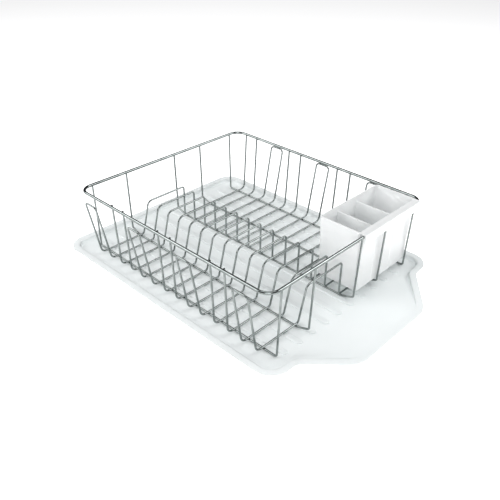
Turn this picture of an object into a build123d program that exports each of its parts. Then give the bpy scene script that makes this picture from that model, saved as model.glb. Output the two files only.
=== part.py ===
from build123d import *

import os

# Dish drying rack: a welded wire basket that stands in a moulded drain tray, with a hook-on cutlery holder.
# Millimetres. The origin is on the table under the middle of the tray, +X points to the pouring spout and +Z up.

# ---- Wire stock and welds -------------------------------------------------------------------------
wire_diameter = 2.8          # plate wires and base wires
rim_diameter = 4.5           # top rim
weld_sink = 0.25             # how far two crossing wires are pressed together by a spot weld
rim_weld_depth = 1.0         # how far a base wire's end reaches into the rim from below
rim_weld_overrun = 1.0       # a plate wire is welded to the rim's inner side and ends this far past its centre

# ---- Basket, along its length -----------------------------------------------------------------------
hairpin_count = 7            # plate wires, two cross wires to each
plate_pitch = 25.4           # from one cross wire to the next, so from one plate slot to the next
rim_end_margin = 25.6        # from the last cross wire to the rim's centre line
rim_height = 105.4           # rim centre line above the base wires' centre line
rim_corner_radius = 18.0
base_taper = 3.3             # the basket's floor stops this far inside the rim at each end
base_corner_radius = 3.6
inner_wire_lift = 6.7        # the three inner base wires rise this much before they turn up
inner_rise_margin = 3.0      # they start to rise this far past the last cross wire
inner_rise_radius = 16.0

# ---- Basket, across its width -----------------------------------------------------------------------
rim_width = 334.2            # between the rim's centre lines
outer_wire_inset = 21.8      # the two outer base wires lie this far inside the rim
side_foot_inset = 8.5        # lower corner of the basket's long sides, inside the rim
side_corner_radius = 9.4
loop_lean = 8.8              # a hairpin's loop stands this far outside the rim
loop_drop = 9.0              # and its top is this far under it
loop_corner_radius = 5.5

# ---- Hump that holds the plates, in each plate wire -------------------------------------------------
hump_height = 53.85          # above the cross wires
hump_slope = 14.2            # the near leg leans this much from its foot to its top
near_foot_step = 5.0         # foot of the sloping near leg, inside the front inner base wire
far_leg_step = 3.7           # upright far leg, inside the middle base wire
near_foot_radius = 5.0
near_top_radius = 9.0
far_top_radius = 4.5
far_foot_radius = 4.5

# ---- Drain tray ---------------------------------------------------------------------------------------
tray_thickness = 2.0
tail_margin = 33.1           # tray past the rim at the closed end
shoulder_margin = 27.1       # tray past the rim at the spout end, as far as the shoulders
spout_reach = 52.4           # spout past the shoulders
near_margin = 20.2           # tray past the rim along the near side
far_margin = 10.6            # tray past the rim along the far side
lip_height = 9.0             # lip above the table
lip_width = 10.5             # flat lip, from its edge to the inner face of the wall
throat_inset = 45.2          # each shoulder steps in by this much to the spout
nose_inset = 61.3            # and the spout narrows by this much on each side to its nose
tail_corner_radius = 29.0
shoulder_radius = 30.0
throat_radius = 19.0
nose_corner_radius = 38.0
floor_edge_radius = 3.0      # hollow between the floor and the wall

# ---- Drain ribs ---------------------------------------------------------------------------------------
rib_count = 10
rib_width = 9.4
rib_height = 1.8
rib_side_margin = 55.6       # from the tray's edge to the outermost ribs' centre lines
rib_tail_margin = 26.3       # from the tray's closed end to the ribs
rib_spout_margin = 24.9      # from the ribs to the shoulders
rib_edge_radius = 1.2

# ---- Where the base wires stand, in the gutters beside the ribs --------------------------------------
rest_gap = 0.2               # daylight under the base wires
front_gutter_gap = 1.2       # between the front inner wire and the third rib
middle_gutter_gap = 0.3      # between the middle wire and the first rib
back_gutter_gap = 1.6        # between the back inner wire and the third rib

# ---- Cutlery holder ---------------------------------------------------------------------------------
holder_wall = 1.6
holder_floor = 1.8
holder_depth = 68.0          # along the rack
holder_end_inset = 12.4      # far wall, inside the rim, at the top
holder_start_gap = 3.1       # between the humps and the near wall, at the top
holder_floor_gap = 7.85      # between the cross wires and the holder's underside
end_draft = 6.5              # each end wall leans in by this much at the bottom
holder_corner_radius = 4.0
rim_corner_step = 14.0       # the holder's corner beside the rim's bend follows the bend, less this
rim_gap = 0.3                # between the hook and the rim
upright_gap = 0.4            # between the back wall and the upright ends of the base wires
skirt_depth = 13.3           # the hook's outer skirt, from the holder's top
near_cell = 39.4             # wall to divider at the top; the middle cell is what the end cells leave
far_cell = 49.3
divider_drop = 8.6           # dividers stop this far under the top
drain_slot_count = 3         # in each cell
drain_slot_length = 40.0
drain_slot_width = 3.2
drain_slot_pitch = 9.5
groove_width = 1.2           # moulded line down the back wall at each divider
groove_depth = 0.5

# ---- Sizes and places that follow ---------------------------------------------------------------------
wire_radius = wire_diameter / 2
rim_radius = rim_diameter / 2
cross_count = 2 * hairpin_count
last_cross = (cross_count - 1) / 2 * plate_pitch
half_rim_length = last_cross + rim_end_margin
half_rim_width = rim_width / 2

tray_length = tail_margin + 2 * half_rim_length + shoulder_margin + spout_reach
tray_width = near_margin + rim_width + far_margin
half_tray_width = tray_width / 2
tail_x = -tray_length / 2
nose_x = tray_length / 2
shoulder_x = nose_x - spout_reach
spout_floor_x = nose_x - lip_width

rack_x = tail_x + tail_margin + half_rim_length
rack_y = near_margin + half_rim_width - half_tray_width
base_z = tray_thickness + rest_gap + wire_radius
cross_z = base_z + wire_diameter - weld_sink
rim_z = base_z + rim_height
hump_z = cross_z + hump_height
wire_end_z = rim_z - rim_radius + rim_weld_depth
side_weld_inset = rim_radius + wire_radius - weld_sink

rib_pitch = (tray_width - 2 * rib_side_margin) / (rib_count - 1)
rib_reach = rib_width / 2 + wire_radius
outer_wire_y = half_rim_width - outer_wire_inset
front_inner_y = -2.5 * rib_pitch - rib_reach - front_gutter_gap
middle_y = 0.5 * rib_pitch + rib_reach + middle_gutter_gap
back_inner_y = 2.5 * rib_pitch + rib_reach + back_gutter_gap
near_foot_y = front_inner_y + near_foot_step
near_top_y = near_foot_y + hump_slope
far_leg_y = middle_y - far_leg_step

holder_top_z = rim_z + rim_radius + rim_gap + holder_wall
holder_bottom_z = cross_z + wire_radius + holder_floor_gap
holder_back_x = rack_x + half_rim_length - base_taper - wire_radius - upright_gap
holder_front_x = holder_back_x - holder_depth
holder_near_y = far_leg_y + wire_radius + holder_start_gap
holder_far_y = rack_y + half_rim_width - holder_end_inset
first_divider_y = holder_near_y + holder_wall + near_cell
second_divider_y = holder_far_y - holder_wall - far_cell - holder_wall
skirt_x = rack_x + half_rim_length + rim_radius + rim_gap


def bent_wire(points, radii, diameter):
    """Round wire that follows straight runs, with a bend at each point between them."""
    path = FilletPolyline(*points, radius=radii)
    section = Plane(origin=path @ 0, z_dir=path % 0) * Circle(diameter / 2)
    return sweep(section, path=path)


def rim_wire():
    """Closed loop of thicker wire round the top."""
    loop = RectangleRounded(2 * half_rim_length, rim_width, rim_corner_radius)
    path = (Pos(rack_x, rack_y, rim_z) * loop).wire()
    section = Plane(origin=path @ 0, z_dir=path % 0) * Circle(rim_radius)
    return sweep(section, path=path)


def base_wire(y, lift):
    """Long wire under the basket with both ends turned up to the rim."""
    half = [(last_cross + inner_rise_margin, base_z)] if lift else []
    radii = [inner_rise_radius] if lift else []
    half.append((half_rim_length - base_taper, base_z + lift))
    radii.append(base_corner_radius)
    half.append((half_rim_length, wire_end_z))
    right = [(rack_x + x, y, z) for x, z in half]
    left = [(rack_x - x, y, z) for x, z in reversed(half)]
    return bent_wire(left + right, radii[::-1] + radii, wire_diameter)


def hairpin_leg(side):
    """Points in YZ from the rim down, across and up to the loop, which is far for +1 and near for -1."""
    bends = [
        (rack_y - half_rim_width + side_foot_inset, cross_z, side_corner_radius),
        (near_foot_y, cross_z, near_foot_radius),
        (near_top_y, hump_z, near_top_radius),
        (far_leg_y, hump_z, far_top_radius),
        (far_leg_y, cross_z, far_foot_radius),
        (rack_y + half_rim_width - side_foot_inset, cross_z, side_corner_radius),
    ]
    if side < 0:
        bends.reverse()
    rim_end = (rack_y - side * (half_rim_width - side_weld_inset), rim_z + rim_weld_overrun)
    loop_top = (rack_y + side * (half_rim_width + loop_lean), rim_z - loop_drop)
    points = [rim_end] + [(y, z) for y, z, radius in bends] + [loop_top]
    return points, [radius for y, z, radius in bends] + [loop_corner_radius]


def plate_wire(index):
    """Hairpin: two cross wires with a hump in each, joined by a loop. The loops take turns near and far."""
    leg, radii = hairpin_leg(-1 if index % 2 == 0 else 1)
    first_x = rack_x - last_cross + 2 * index * plate_pitch
    second_x = first_x + plate_pitch
    there = [(first_x, y, z) for y, z in leg]
    back = [(second_x, y, z) for y, z in reversed(leg)]
    return bent_wire(there + back, radii + radii[::-1], wire_diameter)


def tray_outline():
    """Tray from above: a rounded body that necks down to a wide spout at the +X end."""
    throat_y = half_tray_width - throat_inset
    nose_y = throat_y - nose_inset
    far_side = [
        (nose_x, nose_y, nose_corner_radius),
        (shoulder_x, throat_y, throat_radius),
        (shoulder_x, half_tray_width, shoulder_radius),
        (tail_x, half_tray_width, tail_corner_radius),
    ]
    near_side = [(x, -y, radius) for x, y, radius in reversed(far_side)]
    corners = near_side + far_side
    points = [(x, y) for x, y, radius in corners]
    return make_face(FilletPolyline(*points, radius=[radius for x, y, radius in corners], close=True))


def lip_profile(drop):
    """Side view of all that lies under the lip's top, lowered by drop. The lip runs down to the spout's floor."""
    points = [
        (tail_x, -lip_height),
        (nose_x, -lip_height),
        (nose_x, tray_thickness - drop),
        (spout_floor_x, tray_thickness - drop),
        (shoulder_x, lip_height - drop),
        (tail_x, lip_height - drop),
    ]
    return extrude(Plane.XZ * make_face(Polyline(*points, close=True)), amount=half_tray_width, both=True)


def drain_rib():
    """Low raised bar with round ends."""
    length = shoulder_x - rib_spout_margin - (tail_x + rib_tail_margin)
    bar = extrude(SlotOverall(length, rib_width), amount=tray_thickness / 2 + rib_height)
    bar = fillet(bar.faces().sort_by(Axis.Z)[-1].edges(), radius=rib_edge_radius)
    return Pos(tail_x + rib_tail_margin + length / 2, 0, tray_thickness / 2) * bar


def drain_tray():
    """One moulding: floor, wall, turned-out lip, pouring spout and drain ribs."""
    outline = tray_outline()
    tray = extrude(outline, amount=lip_height) & lip_profile(0)
    wall_outside = offset(outline, amount=tray_thickness - lip_width, kind=Kind.ARC)
    under_lip = extrude(outline, amount=lip_height) - extrude(wall_outside, amount=lip_height)
    tray -= under_lip & lip_profile(tray_thickness)
    basin = extrude(offset(outline, amount=-lip_width, kind=Kind.ARC), amount=lip_height)
    basin = fillet(basin.faces().sort_by(Axis.Z)[0].edges(), radius=floor_edge_radius)
    tray -= Pos(0, 0, tray_thickness) * basin
    rib = drain_rib()
    for index in range(rib_count):
        tray += Pos(0, (index - (rib_count - 1) / 2) * rib_pitch, 0) * rib
    return tray


def rounded_section(low, high, z, radius, bend_radius):
    """Level rounded rectangle from corner low to corner high, both (x, y). Its corner at high is beside the bend."""
    x0, y0 = low
    x1, y1 = high
    corners = [(x0, y0, z), (x1, y0, z), (x1, y1, z), (x0, y1, z)]
    return make_face(FilletPolyline(*corners, radius=[radius, radius, bend_radius, radius], close=True))


def holder_block(inset, low_z, high_z):
    """Solid shape of the holder, moved in by inset all round. Its end walls lean in towards the bottom."""
    radius = holder_corner_radius
    bend_radius = rim_corner_radius - rim_corner_step
    slope = end_draft / (holder_top_z - holder_bottom_z)
    sections = []
    for z in (low_z, high_z):
        lean = slope * (holder_top_z - z)
        low = (holder_front_x + inset, holder_near_y + lean + inset)
        high = (holder_back_x - inset, holder_far_y - lean - inset)
        sections.append(rounded_section(low, high, z, radius - inset, bend_radius - inset))
    return loft(sections)


def dividers():
    """Two upright walls between the cells, as wide as the holder's inside."""
    height = holder_top_z - divider_drop - holder_bottom_z
    wall = Box(holder_depth - holder_wall, holder_wall, height, align=(Align.MIN, Align.MIN, Align.MIN))
    start_x = holder_front_x + holder_wall / 2
    return [Pos(start_x, y, holder_bottom_z) * wall for y in (first_divider_y, second_divider_y)]


def drain_slots():
    """Slots through the floor of each cell, in the middle of what the walls leave there."""
    cells = [
        (holder_near_y + end_draft + holder_wall, first_divider_y),
        (first_divider_y + holder_wall, second_divider_y),
        (second_divider_y + holder_wall, holder_far_y - end_draft - holder_wall),
    ]
    middle_x = (holder_front_x + holder_back_x) / 2
    slot = extrude(SlotOverall(drain_slot_length, drain_slot_width), amount=2 * holder_floor, both=True)
    slots = []
    for low, high in cells:
        for index in range(drain_slot_count):
            y = (low + high) / 2 + (index - (drain_slot_count - 1) / 2) * drain_slot_pitch
            slots.append(Pos(middle_x, y, holder_bottom_z) * slot)
    return slots


def rim_hook():
    """Flat plate over the rim with a skirt down its outer side, along the holder's whole width."""
    width = holder_far_y - holder_near_y
    outer_x = skirt_x + holder_wall
    start_x = holder_back_x - holder_wall
    corner = (Align.MIN, Align.MIN, Align.MAX)
    plate = Pos(start_x, holder_near_y, holder_top_z) * Box(outer_x - start_x, width, holder_wall, align=corner)
    skirt = Pos(skirt_x, holder_near_y, holder_top_z) * Box(holder_wall, width, skirt_depth, align=corner)
    return plate + skirt


def cutlery_holder():
    """One moulding with three open cells, hooked over the rim at the spout end."""
    holder = holder_block(0, holder_bottom_z, holder_top_z)
    holder -= holder_block(holder_wall, holder_bottom_z + holder_floor, holder_top_z)
    holder += dividers()
    holder += rim_hook()
    holder -= drain_slots()
    groove = Box(2 * groove_depth, groove_width, 2 * (holder_top_z - holder_bottom_z))
    for y in (first_divider_y, second_divider_y):
        holder -= Pos(holder_back_x, y + holder_wall / 2, holder_bottom_z) * groove
    return holder


def build():
    """Every separate piece of the rack, by name."""
    pieces = {"drain_tray": drain_tray(), "top_rim": rim_wire()}
    pieces["base_wire_front_edge"] = base_wire(rack_y - outer_wire_y, 0)
    pieces["base_wire_front_inner"] = base_wire(front_inner_y, inner_wire_lift)
    pieces["base_wire_middle"] = base_wire(middle_y, inner_wire_lift)
    pieces["base_wire_back_inner"] = base_wire(back_inner_y, inner_wire_lift)
    pieces["base_wire_back_edge"] = base_wire(rack_y + outer_wire_y, 0)
    for index in range(hairpin_count):
        pieces[f"plate_wire_{index + 1}"] = plate_wire(index)
    pieces["cutlery_holder"] = cutlery_holder()
    return pieces


os.makedirs("parts", exist_ok=True)
for name, piece in build().items():
    export_step(piece, f"parts/{name}.step")
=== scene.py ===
import math

import bmesh
import bpy
from mathutils import Matrix, Vector


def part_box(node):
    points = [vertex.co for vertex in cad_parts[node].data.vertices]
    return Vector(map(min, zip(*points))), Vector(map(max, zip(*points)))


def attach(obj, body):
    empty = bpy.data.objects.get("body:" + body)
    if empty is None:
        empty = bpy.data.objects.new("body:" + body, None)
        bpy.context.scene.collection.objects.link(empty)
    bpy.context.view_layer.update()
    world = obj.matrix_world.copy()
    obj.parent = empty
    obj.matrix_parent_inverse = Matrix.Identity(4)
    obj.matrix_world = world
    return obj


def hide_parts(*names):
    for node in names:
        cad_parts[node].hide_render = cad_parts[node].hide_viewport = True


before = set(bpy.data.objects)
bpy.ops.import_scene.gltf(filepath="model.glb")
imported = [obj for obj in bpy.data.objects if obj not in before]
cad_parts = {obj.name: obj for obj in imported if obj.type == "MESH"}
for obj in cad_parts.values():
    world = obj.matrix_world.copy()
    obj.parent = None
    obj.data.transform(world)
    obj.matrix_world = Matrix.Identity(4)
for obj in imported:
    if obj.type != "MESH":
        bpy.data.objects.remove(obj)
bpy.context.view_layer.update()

# Camera.
# It stands in front of the near right corner and looks down on the rack, turned a touch about its
# own axis.
aim = Vector((-0.0079, -0.0092, 0.0252))
azimuth = math.radians(43.39)
elevation = math.radians(32.3)
roll = math.radians(0.74)
distance = 0.9319
back = Vector((
    math.sin(azimuth) * math.cos(elevation),
    -math.cos(azimuth) * math.cos(elevation),
    math.sin(elevation),
))
level_right = Vector((0, 0, 1)).cross(back).normalized()
level_up = back.cross(level_right)
right = level_right * math.cos(roll) + level_up * math.sin(roll)
up = level_up * math.cos(roll) - level_right * math.sin(roll)
bpy.ops.object.camera_add()
camera = bpy.context.object
camera.name = "camera"
camera.data.lens = 44.08
camera.data.sensor_width = 36
camera.data.clip_start = 0.05
turn = Matrix((right, up, back)).transposed()
camera.matrix_world = Matrix.Translation(aim + back * distance) @ turn.to_4x4()
bpy.context.scene.camera = camera

# Studio.
# A white table that glows a little, as a lit sweep does, under large soft lights. The walls of the
# room are dim, so bright metal has something dark to reflect.
bpy.context.scene.view_settings.view_transform = "Standard"
bpy.ops.mesh.primitive_plane_add(size=12, location=(0, 0, 0))
table = bpy.context.object
table.name = "table"
table_paint = bpy.data.materials.new("table_paint")
table_paint.use_nodes = True
paint = table_paint.node_tree.nodes["Principled BSDF"]
paint.inputs["Base Color"].default_value = (0.92, 0.92, 0.92, 1)
paint.inputs["Roughness"].default_value = 0.9
paint.inputs["Emission Color"].default_value = (1, 1, 1, 1)
paint.inputs["Emission Strength"].default_value = 0.7
table.data.materials.append(table_paint)

world = bpy.data.worlds.new("room")
bpy.context.scene.world = world
world.use_nodes = True
world.node_tree.nodes["Background"].inputs["Color"].default_value = (0.06, 0.06, 0.065, 1)
world.node_tree.nodes["Background"].inputs["Strength"].default_value = 1.0


def soft_light(name, place, target, width, depth, power):
    """Rectangular soft light at place, turned to target."""
    bpy.ops.object.light_add(type="AREA", location=place)
    light = bpy.context.object
    light.name = name
    light.data.shape = "RECTANGLE"
    light.data.size = width
    light.data.size_y = depth
    light.data.energy = power
    light.rotation_euler = (Vector(target) - Vector(place)).to_track_quat("-Z", "Y").to_euler()
    return light


soft_light("left_light", (-1.05, -0.95, 1.05), (0, 0, 0.03), 1.4, 1.0, 18)
soft_light("back_light", (0.85, 1.05, 1.15), (0, 0, 0.03), 1.1, 0.9, 15)
soft_light("front_light", (1.4, -1.5, 0.7), (0, 0, 0.05), 1.2, 0.7, 16)
soft_light("top_light", (0, 0, 1.6), (0, 0, 0), 1.1, 1.1, 9)

# Drain tray.
# One injection moulding in milky white plastic, 2 mm thick: a flat floor with ten low drain ribs, an
# upright wall that turns out into a flat lip, and a wide spout at the +X end where the lip runs down
# to the floor.
tray_low, tray_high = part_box("drain_tray")
tray_width = tray_high[1] - tray_low[1]
tray_floor = 0.002
lip_top = tray_high[2]
lip_width = 0.0105
spout_reach = 0.0524
throat = 0.1373
nose = 0.076
shoulder = tray_high[0] - spout_reach
tail_bend = 0.029
shoulder_bend = 0.030
throat_bend = 0.0070
nose_bend = 0.0140
floor_slope = 0.0003
sloping_band = 0.0115
level_band = 0.0020
wall_top_round = 0.0012
wall_foot_round = 0.0026
edge_round = 0.0005


def start_edit(piece, mode="FACE"):
    """Opens piece for editing with nothing selected."""
    if bpy.context.object and bpy.context.object.mode != "OBJECT":
        bpy.ops.object.mode_set(mode="OBJECT")
    bpy.ops.object.select_all(action="DESELECT")
    piece.select_set(True)
    bpy.context.view_layer.objects.active = piece
    bpy.ops.object.mode_set(mode="EDIT")
    bpy.ops.mesh.select_mode(type=mode)
    bpy.ops.mesh.select_all(action="DESELECT")


def pick(piece, kind, test):
    """Selects only the verts, edges or faces of piece, open for editing, whose middle passes test."""
    bpy.ops.mesh.select_all(action="DESELECT")
    bpy.ops.mesh.select_mode(type={"verts": "VERT", "edges": "EDGE", "faces": "FACE"}[kind])
    shape = bmesh.from_edit_mesh(piece.data)
    for item in getattr(shape, kind):
        if kind == "verts":
            middle = item.co
        elif kind == "edges":
            middle = (item.verts[0].co + item.verts[1].co) / 2
        else:
            middle = item.calc_center_median()
        item.select_set(bool(test(middle, item)))
    shape.select_flush_mode()
    bmesh.update_edit_mesh(piece.data)


def near(value, wanted):
    """True if two lengths in metres agree to a twentieth of a millimetre."""
    return abs(value - wanted) < 0.00005


def climbs(edge, least):
    """True if an edge rises by more than least from one end to the other."""
    return abs(edge.verts[0].co.z - edge.verts[1].co.z) > least


def level_at(edge, height):
    """True if both ends of an edge lie at this height."""
    return near(edge.verts[0].co.z, height) and near(edge.verts[1].co.z, height)


def block(name, low, high):
    """Cube primitive scaled to run from low to high, as the start of a piece."""
    middle = [(a + b) / 2 for a, b in zip(low, high)]
    bpy.ops.object.select_all(action="DESELECT")
    bpy.ops.mesh.primitive_cube_add(size=1, location=middle)
    piece = bpy.context.object
    piece.name = name
    piece.scale = [b - a for a, b in zip(low, high)]
    bpy.ops.object.transform_apply(location=True, rotation=True, scale=True)
    return piece


def apply_modifier(piece, kind, **settings):
    """Adds a modifier with these settings and applies it."""
    bpy.ops.object.select_all(action="DESELECT")
    piece.select_set(True)
    bpy.context.view_layer.objects.active = piece
    modifier = piece.modifiers.new(kind.lower(), kind)
    for key, value in settings.items():
        setattr(modifier, key, value)
    bpy.ops.object.modifier_apply(modifier=modifier.name)


bpy.ops.object.select_all(action="DESELECT")
bpy.ops.mesh.primitive_plane_add(size=1, location=((tray_low[0] + shoulder) / 2, 0, lip_top))
tray = bpy.context.object
tray.name = "drain_tray_moulding"
tray.scale = (shoulder - tray_low[0], tray_width, 1)
bpy.ops.object.transform_apply(location=True, rotation=True, scale=True)
start_edit(tray)
for side in (-1, 1):
    bpy.ops.mesh.select_all(action="SELECT")
    bpy.ops.mesh.bisect(plane_co=(0, side * throat, 0), plane_no=(0, 1, 0))
pick(tray, "edges", lambda middle, edge: near(middle.x, shoulder) and abs(middle.y) < throat / 2)
bpy.ops.mesh.extrude_region_move(TRANSFORM_OT_translate={"value": (spout_reach, 0, 0)})
bpy.ops.transform.resize(value=(1, nose / throat, 1))
bpy.ops.mesh.select_all(action="SELECT")
bpy.ops.mesh.dissolve_limited(angle_limit=math.radians(1))
for corner_x, corner_y, reach, steps in (
    (tray_low[0], tray_width / 2, tail_bend, 12),
    (shoulder, tray_width / 2, shoulder_bend, 12),
    (shoulder, throat, throat_bend, 6),
    (tray_high[0], nose, nose_bend, 8),
):
    pick(tray, "verts", lambda middle, vert: near(middle.x, corner_x)
         and near(abs(middle.y), corner_y))
    bpy.ops.mesh.bevel(offset=reach, segments=steps, profile=0.5, affect="VERTICES")

# The lip is inset from the outline, the wall drops straight from it, and a wide soft band slopes in
# to the flat floor. The wall is rounded at its top and at its foot.
pick(tray, "faces", lambda middle, face: True)
bpy.ops.mesh.inset(thickness=lip_width, use_even_offset=True)
bpy.ops.mesh.extrude_region_move(
    TRANSFORM_OT_translate={"value": (0, 0, tray_floor + floor_slope - lip_top)})
bpy.ops.mesh.inset(thickness=sloping_band, use_even_offset=True, depth=-floor_slope)
bpy.ops.mesh.inset(thickness=level_band, use_even_offset=True)
pick(tray, "edges", lambda middle, edge: near(middle.z, lip_top) and len(edge.link_faces) == 2
     and any(face.normal.z < 0.5 for face in edge.link_faces))
bpy.ops.mesh.bevel(offset=wall_top_round, segments=3, profile=0.5, affect="EDGES")
pick(tray, "edges", lambda middle, edge: near(middle.z, tray_floor + floor_slope)
     and any(face.normal.z < 0.5 for face in edge.link_faces))
bpy.ops.mesh.bevel(offset=wall_foot_round, segments=4, profile=0.5, affect="EDGES")

# Past the shoulders the lip and the wall run down to the spout's floor: each point keeps its share
# of the height.
spout_run = spout_reach - lip_width
start_edit(tray, "VERT")
shape = bmesh.from_edit_mesh(tray.data)
for vert in shape.verts:
    if vert.co.x > shoulder:
        share = min(1, (vert.co.x - shoulder) / spout_run)
        vert.co.z -= share * (vert.co.z - tray_floor)
bmesh.update_edit_mesh(tray.data)
bpy.ops.object.mode_set(mode="OBJECT")
apply_modifier(
    tray, "SOLIDIFY", thickness=tray_floor, offset=-1, use_even_offset=True, use_quality_normals=True)
start_edit(tray, "VERT")
shape = bmesh.from_edit_mesh(tray.data)
for vert in shape.verts:
    vert.co.z = max(vert.co.z, 0)
bmesh.update_edit_mesh(tray.data)
bpy.ops.mesh.select_all(action="SELECT")
bpy.ops.mesh.remove_doubles(threshold=0.00001)
bpy.ops.object.mode_set(mode="OBJECT")
apply_modifier(
    tray, "BEVEL", width=edge_round, segments=2, limit_method="ANGLE", angle_limit=math.radians(60))

# Drain ribs: one low bar with round ends and soft shoulders, copied across the floor and joined to
# it.
rib_count = 10
rib_pitch = 0.0282
rib_low_x = tray_low[0] + 0.0263
rib_high_x = shoulder - 0.0249
rib_half_width = 0.0047
rib_top = tray_floor + 0.0018
rib_shoulder = 0.0015
first_rib_y = -(rib_count - 1) / 2 * rib_pitch
rib = block(
    "drain_rib",
    (rib_low_x, first_rib_y - rib_half_width, tray_floor / 2),
    (rib_high_x, first_rib_y + rib_half_width, rib_top),
)
start_edit(rib, "EDGE")
pick(rib, "edges", lambda middle, edge: climbs(edge, 0.001))
bpy.ops.mesh.bevel(offset=rib_half_width * 0.999, segments=8, profile=0.5, affect="EDGES")
pick(rib, "edges", lambda middle, edge: level_at(edge, rib_top))
bpy.ops.mesh.bevel(offset=rib_shoulder, segments=4, profile=0.5, affect="EDGES")
bpy.ops.object.mode_set(mode="OBJECT")
bars = [rib]
for number in range(1, rib_count):
    bpy.ops.object.select_all(action="DESELECT")
    rib.select_set(True)
    bpy.context.view_layer.objects.active = rib
    bpy.ops.object.duplicate()
    copy = bpy.context.object
    copy.location.y = number * rib_pitch
    bpy.ops.object.transform_apply(location=True, rotation=False, scale=False)
    bars.append(copy)
bpy.ops.object.select_all(action="DESELECT")
for bar in bars:
    bar.select_set(True)
bpy.context.view_layer.objects.active = rib
bpy.ops.object.join()
apply_modifier(tray, "BOOLEAN", object=rib, operation="UNION", solver="EXACT")
bpy.data.objects.remove(rib)
bpy.ops.object.select_all(action="DESELECT")
tray.select_set(True)
bpy.context.view_layer.objects.active = tray
bpy.ops.object.shade_smooth_by_angle(angle=math.radians(35))
apply_modifier(tray, "WEIGHTED_NORMAL", keep_sharp=True)
milky = bpy.data.materials.new("milky_plastic")
milky.use_nodes = True
nodes = milky.node_tree.nodes
links = milky.node_tree.links
plastic = nodes["Principled BSDF"]
plastic.inputs["Subsurface Weight"].default_value = 0.35
plastic.inputs["Subsurface Radius"].default_value = (1.0, 1.0, 1.0)
plastic.inputs["Subsurface Scale"].default_value = 0.006
plastic.inputs["IOR"].default_value = 1.49
place = nodes.new("ShaderNodeTexCoord")
cloud = nodes.new("ShaderNodeTexNoise")
cloud.inputs["Scale"].default_value = 14
cloud.inputs["Detail"].default_value = 3
links.new(place.outputs["Object"], cloud.inputs["Vector"])
tint = nodes.new("ShaderNodeValToRGB")
tint.color_ramp.elements[0].position = 0.25
tint.color_ramp.elements[0].color = (0.78, 0.82, 0.82, 1)
tint.color_ramp.elements[1].position = 0.75
tint.color_ramp.elements[1].color = (0.82, 0.855, 0.855, 1)
links.new(cloud.outputs["Fac"], tint.inputs["Fac"])
links.new(tint.outputs["Color"], plastic.inputs["Base Color"])
sheen = nodes.new("ShaderNodeMapRange")
sheen.inputs["To Min"].default_value = 0.28
sheen.inputs["To Max"].default_value = 0.42
links.new(cloud.outputs["Fac"], sheen.inputs["Value"])
links.new(sheen.outputs["Result"], plastic.inputs["Roughness"])
stipple = nodes.new("ShaderNodeTexNoise")
stipple.inputs["Scale"].default_value = 900
stipple.inputs["Detail"].default_value = 2
links.new(place.outputs["Object"], stipple.inputs["Vector"])
ripple = nodes.new("ShaderNodeBump")
ripple.inputs["Strength"].default_value = 0.08
ripple.inputs["Distance"].default_value = 0.0003
links.new(stipple.outputs["Fac"], ripple.inputs["Height"])
links.new(ripple.outputs["Normal"], plastic.inputs["Normal"])
tray.data.materials.clear()
tray.data.materials.append(milky)
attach(tray, "tray")
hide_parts("drain_tray")

# Wires.
# The rim, the base wires and the hairpin plate wires are drawn steel wire, bent, spot welded and then
# bright plated all together. The plating is smooth, with a fine grain and a slight haze.
bright_wire = bpy.data.materials.new("bright_wire")
bright_wire.use_nodes = True
nodes = bright_wire.node_tree.nodes
links = bright_wire.node_tree.links
metal = nodes["Principled BSDF"]
metal.inputs["Metallic"].default_value = 1.0
place = nodes.new("ShaderNodeTexCoord")
haze = nodes.new("ShaderNodeTexNoise")
haze.inputs["Scale"].default_value = 90
haze.inputs["Detail"].default_value = 4
links.new(place.outputs["Object"], haze.inputs["Vector"])
tone = nodes.new("ShaderNodeValToRGB")
tone.color_ramp.elements[0].position = 0.3
tone.color_ramp.elements[0].color = (0.20, 0.225, 0.22, 1)
tone.color_ramp.elements[1].position = 0.7
tone.color_ramp.elements[1].color = (0.31, 0.335, 0.33, 1)
links.new(haze.outputs["Fac"], tone.inputs["Fac"])
links.new(tone.outputs["Color"], metal.inputs["Base Color"])
polish = nodes.new("ShaderNodeMapRange")
polish.inputs["To Min"].default_value = 0.04
polish.inputs["To Max"].default_value = 0.12
links.new(haze.outputs["Fac"], polish.inputs["Value"])
links.new(polish.outputs["Result"], metal.inputs["Roughness"])
grain = nodes.new("ShaderNodeTexNoise")
grain.inputs["Scale"].default_value = 2200
grain.inputs["Detail"].default_value = 2
links.new(place.outputs["Object"], grain.inputs["Vector"])
skin = nodes.new("ShaderNodeBump")
skin.inputs["Strength"].default_value = 0.05
skin.inputs["Distance"].default_value = 0.0002
links.new(grain.outputs["Fac"], skin.inputs["Height"])
links.new(skin.outputs["Normal"], metal.inputs["Normal"])
for name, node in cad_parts.items():
    if name == "top_rim" or name.startswith(("base_wire", "plate_wire")):
        for index in range(len(node.material_slots)):
            node.material_slots[index].material = bright_wire

# Cutlery holder.
# One injection moulding in white plastic with 1.6 mm walls and three open cells. Its flat top edge
# runs out over the rim as a hook with a skirt, so it hangs clear of the basket's floor and lifts off.
holder_low, holder_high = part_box("cutlery_holder")
holder_wall = 0.0016
holder_depth = 0.068
holder_back = holder_low[0] + holder_depth
hook_under = holder_high[2] - holder_wall
end_lean = 0.0065
near_cell = 0.0394
far_cell = 0.0493
divider_drop = 0.0086
skirt_depth = 0.0133
upright_round = 0.004
skirt_round = 0.003
cell_round = 0.0024
cell_floor_round = 0.0015
holder = block("cutlery_holder_moulding", holder_low, (holder_back, holder_high[1], holder_high[2]))
holder_middle = (
    (holder_low[0] + holder_back) / 2,
    (holder_low[1] + holder_high[1]) / 2,
    holder_low[2],
)
bottom_width = holder_high[1] - holder_low[1] - 2 * end_lean
start_edit(holder)
pick(holder, "faces", lambda middle, face: near(middle.z, holder_low[2]))
bpy.ops.transform.resize(
    value=(1, bottom_width / (holder_high[1] - holder_low[1]), 1), center_override=holder_middle)

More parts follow.
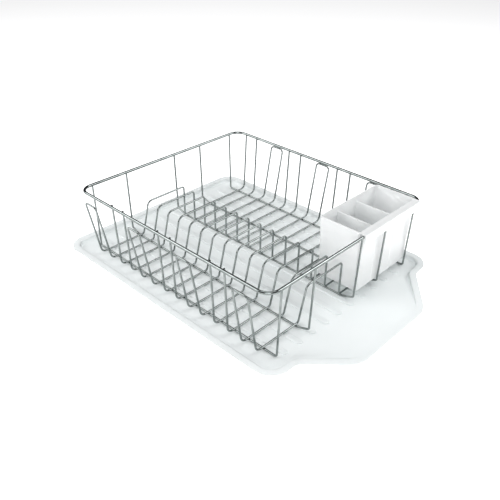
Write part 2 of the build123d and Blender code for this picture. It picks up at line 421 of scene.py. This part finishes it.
# The hook: a strip of the back wall's top is drawn out over the rim, and its outer part is drawn
# down.
bpy.ops.mesh.select_all(action="SELECT")
bpy.ops.mesh.bisect(plane_co=(0, 0, hook_under), plane_no=(0, 0, 1))
pick(holder, "faces", lambda middle, face: face.normal.x > 0.9 and middle.z > hook_under)
bpy.ops.mesh.extrude_region_move(
    TRANSFORM_OT_translate={"value": (holder_high[0] - holder_wall - holder_back, 0, 0)})
bpy.ops.mesh.extrude_region_move(TRANSFORM_OT_translate={"value": (holder_wall, 0, 0)})
pick(holder, "faces", lambda middle, face: face.normal.z < -0.9
     and middle.x > holder_high[0] - holder_wall)
bpy.ops.mesh.extrude_region_move(TRANSFORM_OT_translate={"value": (0, 0, holder_wall - skirt_depth)})


def upright_at(edge, x, y_sign):
    """True for an edge that climbs at this x, on the near (-1) or far (+1) end."""
    a, b = edge.verts
    middle_y = (a.co.y + b.co.y) / 2 - holder_middle[1]
    at_end = middle_y * y_sign > 0.03
    return near(a.co.x, x) and near(b.co.x, x) and climbs(edge, 0.001) and at_end


for x, sign, radius in (
    (holder_low[0], -1, upright_round),
    (holder_low[0], 1, upright_round),
    (holder_high[0], -1, skirt_round),
    (holder_high[0], 1, skirt_round),
):
    pick(holder, "edges", lambda middle, edge: upright_at(edge, x, sign))
    bpy.ops.mesh.bevel(offset=radius, segments=5, profile=0.5, affect="EDGES")
for sign in (-1, 1):
    pick(holder, "edges", lambda middle, edge: middle.z < hook_under - 0.0001
         and upright_at(edge, holder_back, sign))
    bpy.ops.mesh.bevel(offset=upright_round, segments=6, profile=0.5, affect="EDGES")
bpy.ops.object.mode_set(mode="OBJECT")

# The cells: each is sunk to the floor between walls and dividers, and the mouth over all three is
# sunk to the dividers' height. The end walls lean, so the outer ends of the end cells lean too.
cell_floor = holder_low[2] + 0.0018
near_inside = holder_low[1] + holder_wall
far_inside = holder_high[1] - holder_wall
walls = (near_inside, near_inside + near_cell, far_inside - far_cell, far_inside)
lean = end_lean / (holder_high[2] - holder_low[2])
tool_top = holder_high[2] + 0.004
mouth_inset = lean * 0.004
divider_top = holder_high[2] - divider_drop
cells = (
    (near_inside, near_inside + near_cell, 1, 0),
    (near_inside + near_cell + holder_wall, far_inside - far_cell - holder_wall, 0, 0),
    (far_inside - far_cell, far_inside, 0, 1),
)
tools = []
for near_y, far_y, near_leans, far_leans in cells:
    tool = block(
        "cell_core",
        (holder_low[0] + holder_wall, near_y, cell_floor),
        (holder_back - holder_wall, far_y, tool_top),
    )
    start_edit(tool)
    drop = lean * (holder_high[2] - cell_floor)
    rise = lean * (tool_top - holder_high[2])
    for end_y, leans, inward in ((near_y, near_leans, 1), (far_y, far_leans, -1)):
        if leans:
            pick(tool, "verts", lambda middle, vert: near(middle.y, end_y)
                 and near(middle.z, cell_floor))
            bpy.ops.transform.translate(value=(0, inward * drop, 0))
            pick(tool, "verts", lambda middle, vert: near(middle.y, end_y)
                 and near(middle.z, tool_top))
            bpy.ops.transform.translate(value=(0, -inward * rise, 0))
    pick(tool, "edges", lambda middle, edge: climbs(edge, 0.01))
    bpy.ops.mesh.bevel(offset=cell_round, segments=4, profile=0.5, affect="EDGES")
    pick(tool, "edges", lambda middle, edge: level_at(edge, cell_floor))
    bpy.ops.mesh.bevel(offset=cell_floor_round, segments=3, profile=0.5, affect="EDGES")
    bpy.ops.object.mode_set(mode="OBJECT")
    tools.append(tool)
mouth = block(
    "mouth_core",
    (holder_low[0] + holder_wall, walls[0] + mouth_inset, divider_top),
    (holder_back - holder_wall, walls[3] - mouth_inset, tool_top),
)
start_edit(mouth, "EDGE")
pick(mouth, "edges", lambda middle, edge: climbs(edge, 0.01))
bpy.ops.mesh.bevel(offset=cell_round, segments=4, profile=0.5, affect="EDGES")
bpy.ops.object.mode_set(mode="OBJECT")
tools.append(mouth)

# Drain slots through the floor, and the moulding's line down the back wall at each divider.
slot_half = 0.0016
slot_half_length = 0.020
slot_pitch = 0.0095
line_half = 0.0006
line_depth = 0.0005
overrun = 0.002
for near_y, far_y, near_leans, far_leans in cells:
    middle_y = (near_y + near_leans * end_lean + far_y - far_leans * end_lean) / 2
    for step in (-1, 0, 1):
        y = middle_y + step * slot_pitch
        cutter = block(
            "slot_core",
            (holder_middle[0] - slot_half_length, y - slot_half, holder_low[2] - overrun),
            (holder_middle[0] + slot_half_length, y + slot_half, cell_floor + overrun),
        )
        start_edit(cutter, "EDGE")
        pick(cutter, "edges", lambda middle, edge: climbs(edge, 0.001))
        bpy.ops.mesh.bevel(offset=slot_half * 0.999, segments=4, profile=0.5, affect="EDGES")
        bpy.ops.object.mode_set(mode="OBJECT")
        tools.append(cutter)
for y in (walls[1] + holder_wall / 2, walls[2] - holder_wall / 2):
    line = block(
        "line_core",
        (holder_back - line_depth, y - line_half, holder_low[2] - overrun),
        (holder_back + overrun, y + line_half, hook_under - 0.0004),
    )
    tools.append(line)
for tool in tools:
    apply_modifier(holder, "BOOLEAN", object=tool, operation="DIFFERENCE", solver="EXACT")
    bpy.data.objects.remove(tool)
apply_modifier(
    holder, "BEVEL", width=edge_round, segments=2, limit_method="ANGLE", angle_limit=math.radians(50))
bpy.ops.object.shade_smooth_by_angle(angle=math.radians(40))
apply_modifier(holder, "WEIGHTED_NORMAL", keep_sharp=True)
white = bpy.data.materials.new("white_plastic")
white.use_nodes = True
nodes = white.node_tree.nodes
links = white.node_tree.links
plastic = nodes["Principled BSDF"]
plastic.inputs["Subsurface Weight"].default_value = 0.5
plastic.inputs["Subsurface Radius"].default_value = (1.0, 1.0, 1.0)
plastic.inputs["Subsurface Scale"].default_value = 0.008
plastic.inputs["IOR"].default_value = 1.5
place = nodes.new("ShaderNodeTexCoord")
flow = nodes.new("ShaderNodeTexNoise")
flow.inputs["Scale"].default_value = 22
flow.inputs["Detail"].default_value = 3
links.new(place.outputs["Object"], flow.inputs["Vector"])
tint = nodes.new("ShaderNodeValToRGB")
tint.color_ramp.elements[0].position = 0.3
tint.color_ramp.elements[0].color = (0.92, 0.945, 0.945, 1)
tint.color_ramp.elements[1].position = 0.7
tint.color_ramp.elements[1].color = (0.95, 0.97, 0.97, 1)
links.new(flow.outputs["Fac"], tint.inputs["Fac"])
links.new(tint.outputs["Color"], plastic.inputs["Base Color"])
gloss = nodes.new("ShaderNodeMapRange")
gloss.inputs["To Min"].default_value = 0.27
gloss.inputs["To Max"].default_value = 0.33
links.new(flow.outputs["Fac"], gloss.inputs["Value"])
links.new(gloss.outputs["Result"], plastic.inputs["Roughness"])
pebble = nodes.new("ShaderNodeTexNoise")
pebble.inputs["Scale"].default_value = 700
pebble.inputs["Detail"].default_value = 2
links.new(place.outputs["Object"], pebble.inputs["Vector"])
ripple = nodes.new("ShaderNodeBump")
ripple.inputs["Strength"].default_value = 0.06
ripple.inputs["Distance"].default_value = 0.0003
links.new(pebble.outputs["Fac"], ripple.inputs["Height"])
links.new(ripple.outputs["Normal"], plastic.inputs["Normal"])
holder.data.materials.clear()
holder.data.materials.append(white)
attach(holder, "holder")
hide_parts("cutlery_holder")
